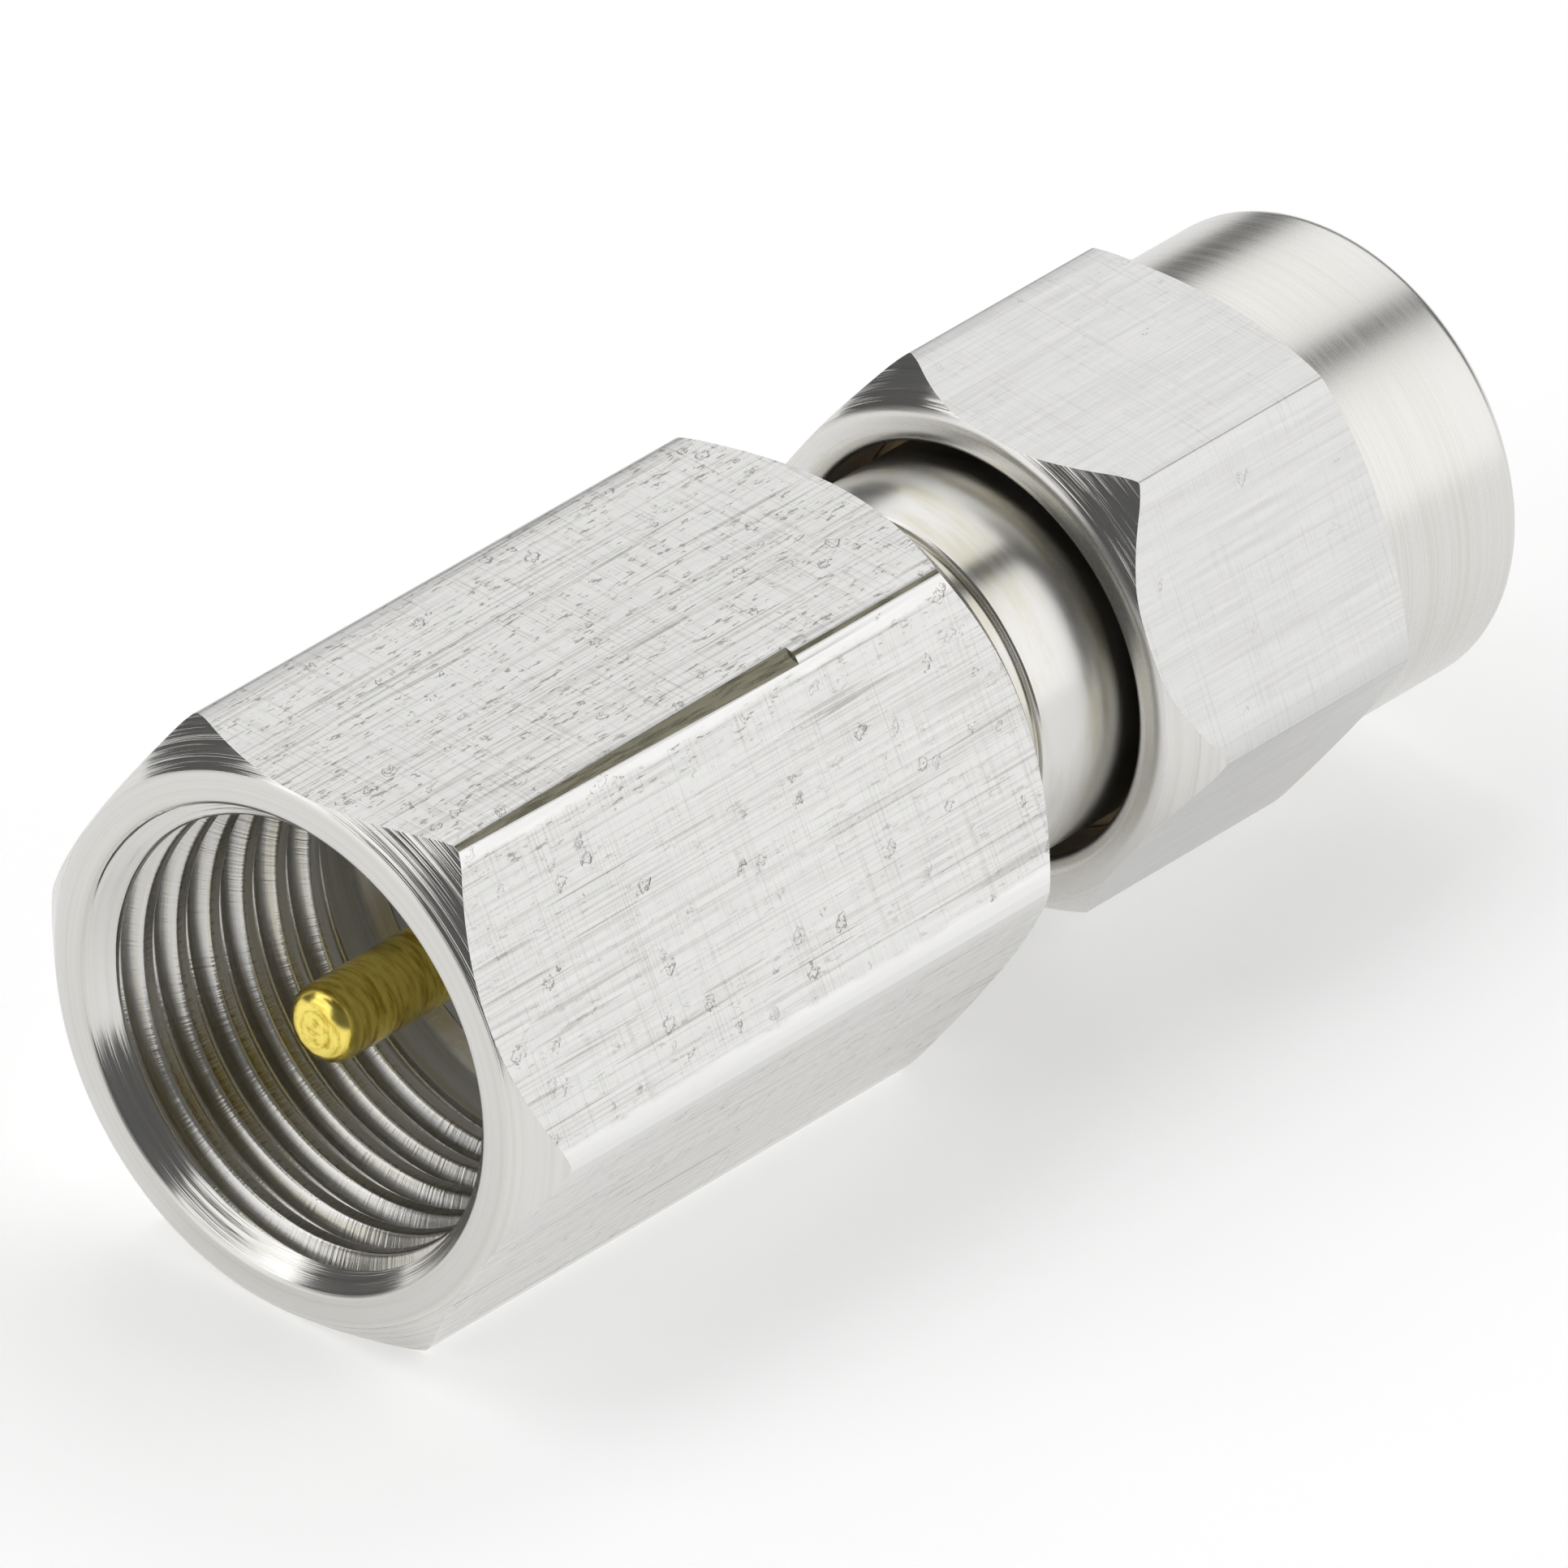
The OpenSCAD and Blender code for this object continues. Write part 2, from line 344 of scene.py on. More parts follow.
    @staticmethod
    def select_edges(piece: Piece, test: Callable[[bmesh.types.BMEdge], bool]) -> None:
        """Goes into edit mode and selects the edges that pass a test.

        Args:
            piece: The piece.
            test: Takes an edge, and says whether it is selected.
        """
        Bench.choose(piece)
        bpy.ops.object.mode_set(mode="EDIT")
        bpy.ops.mesh.select_mode(type="EDGE")
        bpy.ops.mesh.select_all(action="DESELECT")
        mesh = bmesh.from_edit_mesh(piece.data)
        for edge in mesh.edges:
            edge.select = test(edge)
        mesh.select_flush_mode()
        bmesh.update_edit_mesh(piece.data)

    @staticmethod
    def soften(piece: Piece, width: float, test: Callable[[Vector], bool]) -> None:
        """Bevels the sharp edges of a piece whose middles pass a test.

        Args:
            piece: The piece.
            width: Width of the bevel.
            test: Takes the middle of an edge, and says whether the edge is softened.
        """

        def wanted(edge: bmesh.types.BMEdge) -> bool:
            """Says whether an edge is sharp and in the right place."""
            middle = (edge.verts[0].co + edge.verts[1].co) / 2
            return edge.is_manifold and edge.calc_face_angle() > Bench.SHARP_ANGLE and test(middle)

        Bench.select_edges(piece, wanted)
        bpy.ops.mesh.bevel(
            offset=width, segments=2, profile=0.5, affect="EDGES", clamp_overlap=True)
        bpy.ops.object.mode_set(mode="OBJECT")

    @staticmethod
    def settle(piece: Piece) -> None:
        """Closes a mesh, shades it and brings it from millimetres to metres.

        Args:
            piece: The piece.
        """
        Bench.choose(piece)
        bpy.ops.object.mode_set(mode="EDIT")
        Bench.close()
        bpy.ops.object.shade_smooth_by_angle(angle=Bench.SMOOTH_ANGLE)
        weighted = piece.modifiers.new("Weighted", "WEIGHTED_NORMAL")
        weighted.mode = "FACE_AREA"
        weighted.weight = Bench.FACE_WEIGHT
        weighted.keep_sharp = True
        Bench.apply(piece, weighted)
        piece.scale = (MM, MM, MM)
        bpy.ops.object.transform_apply(location=True, rotation=True, scale=True)


# Finishes


class Nodes:
    """The node tree of one material, with short calls for what the finishes share."""

    def __init__(self, name: str) -> None:
        """Starts an empty material with a shader and an output.

        Args:
            name: Name of the material.
        """
        self.material = bpy.data.materials.new(name)
        self.material.use_nodes = True
        self.tree = self.material.node_tree
        self.tree.nodes.clear()
        self.shader = self.add("ShaderNodeBsdfPrincipled")
        output = self.add("ShaderNodeOutputMaterial")
        self.put(output.inputs["Surface"], self.shader.outputs["BSDF"])

    def add(self, kind: str, operation: Optional[str] = None) -> bpy.types.Node:
        """Adds a node.

        Args:
            kind: Its kind.
            operation: What it does, where the kind has a choice.

        Returns:
            The node.
        """
        node = self.tree.nodes.new(kind)
        if operation is not None:
            node.operation = operation
        return node

    def put(self, socket: Socket, value: Input) -> None:
        """Links a socket to another, or sets its constant.

        Args:
            socket: The socket that takes the value.
            value: The socket to link, or the constant.
        """
        if isinstance(value, bpy.types.NodeSocket):
            self.tree.links.new(value, socket)
        else:
            socket.default_value = value

    def feed(self, name: str, value: Input) -> None:
        """Links or sets an input of the shader by its name."""
        self.put(self.shader.inputs[name], value)

    def fill(self, node: bpy.types.Node, *values: Input) -> Socket:
        """Puts values into the inputs of a node, in order.

        Args:
            node: The node.
            values: The values.

        Returns:
            The first output of the node.
        """
        for socket, value in zip(node.inputs, values):
            self.put(socket, value)
        return node.outputs[0]

    def math(self, operation: str, a: Value, b: Value = 0.0, c: Value = 0.0) -> Socket:
        """Returns what a Math node makes of up to three values."""
        return self.fill(self.add("ShaderNodeMath", operation), a, b, c)

    def times(self, a: Value, b: Value) -> Socket:
        """Returns the product of two values."""
        return self.math("MULTIPLY", a, b)

    def plus(self, a: Value, b: Value) -> Socket:
        """Returns the sum of two values."""
        return self.math("ADD", a, b)

    def band(self, value: Value, low: float, high: float, to: Pair = (0, 1)) -> Socket:
        """Maps a value smoothly from one range to another.

        Args:
            value: The value.
            low: Start of the range that it comes from.
            high: End of that range.
            to: The range that it goes to.

        Returns:
            The mapped value.
        """
        node = self.add("ShaderNodeMapRange")
        node.interpolation_type = "SMOOTHSTEP"
        self.put(node.inputs["Value"], value)
        for key, number in zip(("From Min", "From Max", "To Min", "To Max"), (low, high, *to)):
            node.inputs[key].default_value = number
        return node.outputs[0]

    def place(self) -> Socket:
        """Returns the place on the object in millimetres."""
        metres = self.add("ShaderNodeTexCoord").outputs["Object"]
        return self.stretch(metres, (1.0 / MM, 1.0 / MM, 1.0 / MM))

    def stretch(self, vector: Socket, by: Colour) -> Socket:
        """Returns a vector multiplied by three factors."""
        return self.fill(self.add("ShaderNodeVectorMath", "MULTIPLY"), vector, by)

    def split(self, vector: Socket) -> tuple[Socket, Socket, Socket]:
        """Returns the three parts of a vector."""
        parts = self.fill(self.add("ShaderNodeSeparateXYZ"), vector).node.outputs
        return parts[0], parts[1], parts[2]

    def build(self, x: Value, y: Value, z: Value) -> Socket:
        """Returns a vector made of three parts."""
        return self.fill(self.add("ShaderNodeCombineXYZ"), x, y, z)

    def noise(
        self, vector: Socket, detail: float, rough: float, w: Optional[Value] = None,
    ) -> Socket:
        """Adds a noise texture of unit scale.

        Args:
            vector: The place in the texture.
            detail: Number of finer layers.
            rough: How strong the finer layers are.
            w: The place in a fourth direction, if any.

        Returns:
            The noise, from 0 to 1.
        """
        node = self.add("ShaderNodeTexNoise")
        node.noise_dimensions = "3D" if w is None else "4D"
        self.put(node.inputs["Vector"], vector)
        if w is not None:
            self.put(node.inputs["W"], w)
        for key, number in (("Scale", 1.0), ("Detail", detail), ("Roughness", rough)):
            node.inputs[key].default_value = number
        return node.outputs[0]

    def grain(self, place: Socket, scale: Colour, detail: float, rough: float = 0.55) -> Socket:
        """Returns a noise at a place, with a scale of its own along each axis."""
        return self.noise(self.stretch(place, scale), detail, rough)

    def cells(self, vector: Socket) -> tuple[Socket, Socket]:
        """Adds a cell texture of unit scale.

        Args:
            vector: The place in the texture.

        Returns:
            The distance from the middle of the cell, and the cell's random colour.
        """
        node = self.add("ShaderNodeTexVoronoi")
        self.put(node.inputs["Vector"], vector)
        node.inputs["Scale"].default_value = 1.0
        return node.outputs["Distance"], node.outputs["Color"]

    def mix(self, factor: Socket, a: Colour, b: Colour) -> Socket:
        """Mixes two colours by a varying factor.

        Args:
            factor: The share of the second colour.
            a: The first colour.
            b: The second colour.

        Returns:
            The mixed colour.
        """
        node = self.add("ShaderNodeMix")
        node.data_type = "RGBA"
        self.put(node.inputs["Factor"], factor)
        node.inputs[6].default_value = (*a, 1.0)
        node.inputs[7].default_value = (*b, 1.0)
        return node.outputs[2]

    def bump(self, height: Socket, depth: float, normal: Optional[Socket] = None) -> Socket:
        """Adds a bump.

        Args:
            height: The height, from 0 to 1.
            depth: What a height of 1 is, in millimetres.
            normal: The normal of the bump below it, if any.

        Returns:
            The new normal.
        """
        node = self.add("ShaderNodeBump")
        node.inputs["Strength"].default_value = 1.0
        node.inputs["Distance"].default_value = depth * MM
        self.put(node.inputs["Height"], height)
        if normal is not None:
            self.put(node.inputs["Normal"], normal)
        return node.outputs[0]

    def round_place(self, place: Socket) -> tuple[Socket, Socket, Socket, Socket]:
        """Describes a place by its radius about the axis.

        Args:
            place: The place on the object.

        Returns:
            The place along the axis, the radius, and the two parts of the direction round it.
        """
        x, y, z = self.split(place)
        radius = self.math("SQRT", self.plus(self.times(y, y), self.times(z, z)))
        return x, radius, self.math("DIVIDE", y, radius), self.math("DIVIDE", z, radius)


@dataclass(frozen=True)
class DrawnPlate:
    """Plated flats of drawn bar: fine lines along the axis, fainter cross lines and small pits.

    The flat on top has more flecks than the others. On the others, the rolled margins along the
    edges are smoother, and lighter with fewer marks as a painted highlight where they roll over.
    Depths and the margins' radius are in mm; lines, cross, and the weight of the wear and of the
    painted shade round the pits are strengths; and pits is the share of the places for a pit that
    have one.
    """

    name: str
    light: Colour
    dark: Colour
    roughness: Pair
    lines: float
    cross: float
    line_depth: float
    pits: float
    pit_depth: float
    wear_and_pit_shade_strength: float = 1.0
    highlight_r: float = 9.0

    # How often each pattern changes in a millimetre along each axis.
    LINE_SCALE = (0.14, 27.0, 27.0)
    STREAK_SCALE = (0.6, 12.0, 12.0)
    CROSS_SCALE = (30.0, 0.35, 0.35)
    PATCH_SCALE = (1.6, 2.4, 2.4)
    SCRATCH_SCALE = (0.3, 13.0, 13.0)
    FLECK_SCALE = (4.0, 17.0, 17.0)
    PIT_SCALE = (2.0, 2.8, 2.8)
    BEND_SCALE = (9.0, 9.0, 9.0)

    # Heights where the top flat's flecks set in, and where the painted margin highlight ends.
    TOP_Z = (3.6, 4.4)
    MARGIN_Z = (4.452, 4.44)
    TOP_FLECKS = (0.3, 1.0)
    MARGIN_WIDTH = 0.06
    MARGIN_WAVE = 0.1
    PIT_BEND = 0.9
    PIT_LEAST = 0.1
    PIT_SPREAD = 0.18
    PIT_RIM = 0.95
    FAINT = 0.42

    def pit_map(self, n: Nodes, place: Socket) -> tuple[Socket, Socket]:
        """Lays out the pits.

        Args:
            n: The node tree.
            place: The place on the object in millimetres.

        Returns:
            The floor of the pits and the broken line round them, each from 0 to 1. The line
            is painted into the colour as shade round each pit.
        """
        bend = n.math("SUBTRACT", n.grain(place, self.BEND_SCALE, 2.0), 0.5)
        bend = n.times(bend, self.PIT_BEND)
        distance, colour = n.cells(n.build(*(
            n.math("MULTIPLY_ADD", part, scale, bend)
            for part, scale in zip(n.split(place), self.PIT_SCALE))))
        seed, chance, force = n.split(colour)
        kept = n.math("GREATER_THAN", self.pits, chance)
        kept = n.times(kept, n.band(force, 0.1, 0.9, (0.3, 1)))
        size = n.math("MULTIPLY_ADD", seed, self.PIT_SPREAD, self.PIT_LEAST)
        share = n.math("DIVIDE", distance, size)
        floor = n.times(n.band(share, 0.8, 1.05, (1, 0)), kept)
        from_rim = n.math("ABSOLUTE", n.math("SUBTRACT", share, self.PIT_RIM))
        return floor, n.times(n.band(from_rim, 0.08, 0.3, (1, 0)), kept)

    def material(self) -> bpy.types.Material:
        """Builds the finish.

        Returns:
            The material.
        """
        n = Nodes(self.name)
        place = n.place()
        thin = n.grain(place, self.LINE_SCALE, 1.0, 0.5)
        wide = n.grain(place, self.STREAK_SCALE, 3.0, 0.6)
        cross = n.grain(place, self.CROSS_SCALE, 2.0, 0.6)
        patch = n.grain(place, self.PATCH_SCALE, 2.0)
        floor, pit_rim_shade = self.pit_map(n, place)
        height = n.split(place)[2]
        # Painted highlight: the marks fade near the edges of all but the top flat, so these look
        # lighter.
        reach = n.math("MULTIPLY_ADD", patch, self.MARGIN_WAVE, n.round_place(place)[1])
        margin_highlight = n.band(reach, self.highlight_r, self.highlight_r + self.MARGIN_WIDTH)
        inside = n.math("SUBTRACT", 1.0, n.times(margin_highlight, n.band(height, *self.MARGIN_Z)))
        top = n.band(height, *self.TOP_Z, self.TOP_FLECKS)
        drawn = n.times(n.band(thin, 0.5, 0.36), n.band(patch, 0.3, 0.65, (0.45, 0.9)))
        crossed = n.times(n.band(cross, 0.5, 0.34), n.band(patch, 0.65, 0.3, (0.3, 1)))
        shade = n.plus(n.times(drawn, self.lines), n.times(crossed, self.cross))
        shade = n.times(shade, n.band(top, *self.TOP_FLECKS, (0.9, 1.2)))
        scratch = n.band(n.grain(place, self.SCRATCH_SCALE, 0.0), 0.71, 0.76)
        fleck = n.band(n.grain(place, self.FLECK_SCALE, 2.0, 0.6), 0.41, 0.32)
        fleck = n.times(n.times(fleck, n.band(patch, 0.6, 0.4, (0.4, 1.3))), top)
        # Painted shade round each pit, added to the real scratches and flecks.
        wear_and_pit_shade = n.plus(n.times(n.plus(pit_rim_shade, scratch), self.FAINT), fleck)
        shade = n.plus(shade, n.times(wear_and_pit_shade, self.wear_and_pit_shade_strength))
        n.feed("Base Color", n.mix(n.times(shade, inside), self.light, self.dark))
        rough = n.band(wide, 0.3, 0.7, self.roughness)
        n.feed("Roughness", n.times(rough, n.band(inside, 0, 1, (0.8, 1))))
        n.feed("Metallic", 1.0)
        relief = n.plus(n.times(thin, self.lines), n.times(cross, self.cross))
        normal = n.bump(relief, self.line_depth)
        n.feed("Normal", n.bump(n.times(floor, -1.0), self.pit_depth, normal))
        return n.material


@dataclass(frozen=True)
class TurnedPlate:
    """Plated metal off the lathe: fine rings round the axis, with chatter across them if any.

    Rings are counted to a millimetre, drift is how much they change on their way round, chatter is
    counted to a radian, and depths are in millimetres.
    """

    name: str
    light: Colour
    dark: Colour
    roughness: Pair
    rings: float
    ring_depth: float
    drift: float = 0.8
    chatter: float = 0.0
    chatter_depth: float = 0.0

    CHATTER_ALONG = 1.2

    def material(self) -> bpy.types.Material:
        """Builds the finish.

        Returns:
            The material.
        """
        n = Nodes(self.name)
        x, radius, side, up = n.round_place(n.place())
        around = n.build(
            n.times(x, self.rings), n.times(side, self.drift), n.times(up, self.drift))
        rings = n.noise(around, 4.0, 0.6, n.times(radius, self.rings))
        n.feed("Base Color", n.mix(n.band(rings, 0.3, 0.6), self.dark, self.light))
        n.feed("Roughness", n.band(rings, 0.25, 0.75, self.roughness))
        n.feed("Metallic", 1.0)
        normal = n.bump(rings, self.ring_depth)
        if self.chatter > 0.0:
            across = n.build(n.times(x, self.CHATTER_ALONG), n.times(side, self.chatter),
                             n.times(up, self.chatter))
            normal = n.bump(n.noise(across, 2.0, 0.5), self.chatter_depth, normal)
        n.feed("Normal", normal)
        return n.material


@dataclass(frozen=True)
class SoftPlain:
    """A cut plastic or rubber face: faint rings of the cut, their depth in mm, and a mottle."""

    name: str
    light: Colour
    dark: Colour
    roughness: float
    depth: float
    subsurface: float = 0.0

    RINGS = 9.0
    MOTTLE_SCALE = (4.0, 4.0, 4.0)
    SCATTER_MM = 0.5

    def material(self) -> bpy.types.Material:
        """Builds the finish.

        Returns:
            The material.
        """
        n = Nodes(self.name)
        place = n.place()
        x, radius, side, up = n.round_place(place)
        around = n.build(n.times(x, self.RINGS), side, up)
        rings = n.noise(around, 3.0, 0.6, n.times(radius, self.RINGS))
        mottle = n.band(n.grain(place, self.MOTTLE_SCALE, 3.0), 0.3, 0.7)
        n.feed("Base Color", n.mix(mottle, self.dark, self.light))
        n.feed("Normal", n.bump(rings, self.depth))
        n.feed("Roughness", self.roughness)
        n.feed("Subsurface Weight", self.subsurface)
        n.feed("Subsurface Scale", self.SCATTER_MM * MM)
        return n.material


Finish = Union[DrawnPlate, TurnedPlate, SoftPlain]

NICKEL: Colour = (0.72, 0.713, 0.695)
WARM_NICKEL: Colour = (0.66, 0.645, 0.60)
PALE_NICKEL: Colour = (0.84, 0.835, 0.82)
SATIN_NICKEL: Colour = (0.675, 0.672, 0.662)
# Warm dark tint painted on the neck and in the thread: a painted reflection of the nut and the
# gold pin.
PAINTED_WARM_REFLECTION: Colour = (0.61, 0.585, 0.5)
# Dark tone of the drawn marks, also used for the painted shade round the pits.
MARKS_AND_PIT_SHADE: Colour = (0.42, 0.41, 0.39)
# Dark olive of the taper strip on the upper front edge: a painted dark reflection.
PAINTED_EDGE_REFLECTION: Colour = (0.38, 0.36, 0.27)
PAINTED_EDGE_REFLECTION_DEEP: Colour = (0.2, 0.19, 0.13)

BODY_FINISHES: dict[Zone, Finish] = {
    Zone.FLAT: DrawnPlate(
        "body_flats", PALE_NICKEL, MARKS_AND_PIT_SHADE, (0.44, 0.5), lines=0.34, cross=0.32, line_depth=0.001,
        pits=0.5, pit_depth=0.014, highlight_r=5.05),
    # The taper strip's dark olive colour is a painted reflection of the dark surround.
    Zone.EDGE: TurnedPlate(
        "body_edges_painted_reflection", PAINTED_EDGE_REFLECTION, PAINTED_EDGE_REFLECTION_DEEP, (0.22, 0.34), rings=1.5, ring_depth=0.003, drift=90.0),
    Zone.CHAMFER: TurnedPlate(
        "body_chamfers", NICKEL, WARM_NICKEL, (0.1, 0.18), rings=9.0, ring_depth=0.05,
        drift=0.25),
    Zone.LEAD: TurnedPlate(
        "body_lead_in", NICKEL, WARM_NICKEL, (0.12, 0.2), rings=9.0, ring_depth=0.02, drift=0.4),
    Zone.LIP: TurnedPlate(
        "body_lip", NICKEL, WARM_NICKEL, (0.3, 0.38), rings=16.0, ring_depth=0.0006, drift=0.4),
    # The neck and the thread are mottled with the painted warm reflection.
    Zone.PLAIN: TurnedPlate(
        "body_neck", NICKEL, PAINTED_WARM_REFLECTION, (0.19, 0.27), rings=2.2, ring_depth=0.0006, drift=1.6),
    Zone.THREAD: TurnedPlate(
        "body_thread", NICKEL, PAINTED_WARM_REFLECTION, (0.2, 0.3), rings=9.0, ring_depth=0.001, drift=0.6,
        chatter=75.0, chatter_depth=0.007),
}
NUT_FINISHES: dict[Zone, Finish] = {
    Zone.FLAT: DrawnPlate(
        "nut_flats", SATIN_NICKEL, MARKS_AND_PIT_SHADE, (0.28, 0.36), lines=0.2, cross=0.26, line_depth=0.0005,
        pits=0.1, pit_depth=0.004, wear_and_pit_shade_strength=0.25),
    Zone.CHAMFER: TurnedPlate(
        "nut_chamfers", NICKEL, WARM_NICKEL, (0.08, 0.15), rings=10.0, ring_depth=0.05,
        drift=0.25),
    Zone.LIP: TurnedPlate(
        "nut_lip", NICKEL, WARM_NICKEL, (0.24, 0.32), rings=14.0, ring_depth=0.0008, drift=0.4),
    Zone.PLAIN: TurnedPlate(
        "nut_nose", NICKEL, WARM_NICKEL, (0.24, 0.3), rings=22.0, ring_depth=0.0007, drift=0.5),
    Zone.THREAD: TurnedPlate(
        "nut_thread", NICKEL, WARM_NICKEL, (0.3, 0.4), rings=6.0, ring_depth=0.002, drift=0.8,
        chatter=30.0, chatter_depth=0.002),
}
GOLD_PLATE = TurnedPlate(
    "contact_gold_plate", (0.98, 0.81, 0.19), (0.5, 0.34, 0.03), (0.16, 0.26), rings=9.0,
    ring_depth=0.004, drift=1.1)
WAXY_WHITE = SoftPlain(
    "insulator_waxy_white", (0.9, 0.89, 0.86), (0.82, 0.81, 0.78), 0.45, 0.003, 0.2)
RED_RUBBER = SoftPlain("gasket_rubber", (0.62, 0.16, 0.05), (0.45, 0.1, 0.035), 0.7, 0.003)
SPRING_BRONZE = TurnedPlate(
    "ring_spring_bronze", (0.34, 0.27, 0.18), (0.22, 0.16, 0.1), (0.4, 0.5), rings=8.0,
    ring_depth=0.002)


# Sub-assemblies


@dataclass(frozen=True)
class Thread:
    """An internal thread: the groove that is cut into a plain wall at its inner radius."""

    pitch: float
    inner_r: float
    root_r: float
    start: float
    turns: int
    root_flat: float = 0.12
    crest_round: float = 0.14
    root_round: float = 0.1
    flare: float = 0.1
    flare_drop: float = 0.012
    clearance: float = 0.25
    flank: float = math.radians(30)

    def groove(self, name: str) -> Piece:
        """Builds the cutter for the groove.

        Args:
            name: Name of the cutter.

        Returns:
            The cutter.
        """
        x, half_root = self.start, self.root_flat / 2
        half = half_root + (self.root_r - self.inner_r) * math.tan(self.flank)
        wide, air = half + self.flare, self.inner_r - self.clearance
        lip_r = self.inner_r - self.flare_drop
        return Bench.helix(name, [
            Corner(x - wide, air), Corner(x - wide, lip_r),
            Corner(x - half, self.inner_r, self.crest_round),
            Corner(x - half_root, self.root_r, self.root_round),
            Corner(x + half_root, self.root_r, self.root_round),
            Corner(x + half, self.inner_r, self.crest_round),
            Corner(x + wide, lip_r), Corner(x + wide, air),
        ], self.pitch, self.turns)


def measure_face(middle: Vector, normal: Vector) -> tuple[float, float, bool]:
    """Measures a face against the axis.

    Args:
        middle: Middle of the face.
        normal: Normal of the face.

    Returns:
        Its distance from the axis, how far it looks outward, from -1 to 1, and whether it looks
        outward as a side of the hex does.
    """
    radius = math.hypot(middle.y, middle.z)
    outward = (middle.y * normal.y + middle.z * normal.z) / max(radius, 1e-6)
    return radius, outward, outward > 0.8 and abs(normal.x) < 0.2


def paint(piece: Piece, finishes: dict[Zone, Finish],
          zone_of: Callable[[Vector, Vector], Zone]) -> None:
    """Gives each face of a piece the finish of its zone.

    Args:
        piece: The piece, in metres.
        finishes: The finish of each zone.
        zone_of: Takes a face's middle in millimetres and its normal, and returns the zone.
    """
    piece.data.materials.clear()
    slots = {zone: number for number, zone in enumerate(finishes)}
    for finish in finishes.values():
        piece.data.materials.append(finish.material())
    for face in piece.data.polygons:
        face.material_index = slots[zone_of(face.center / MM, face.normal)]


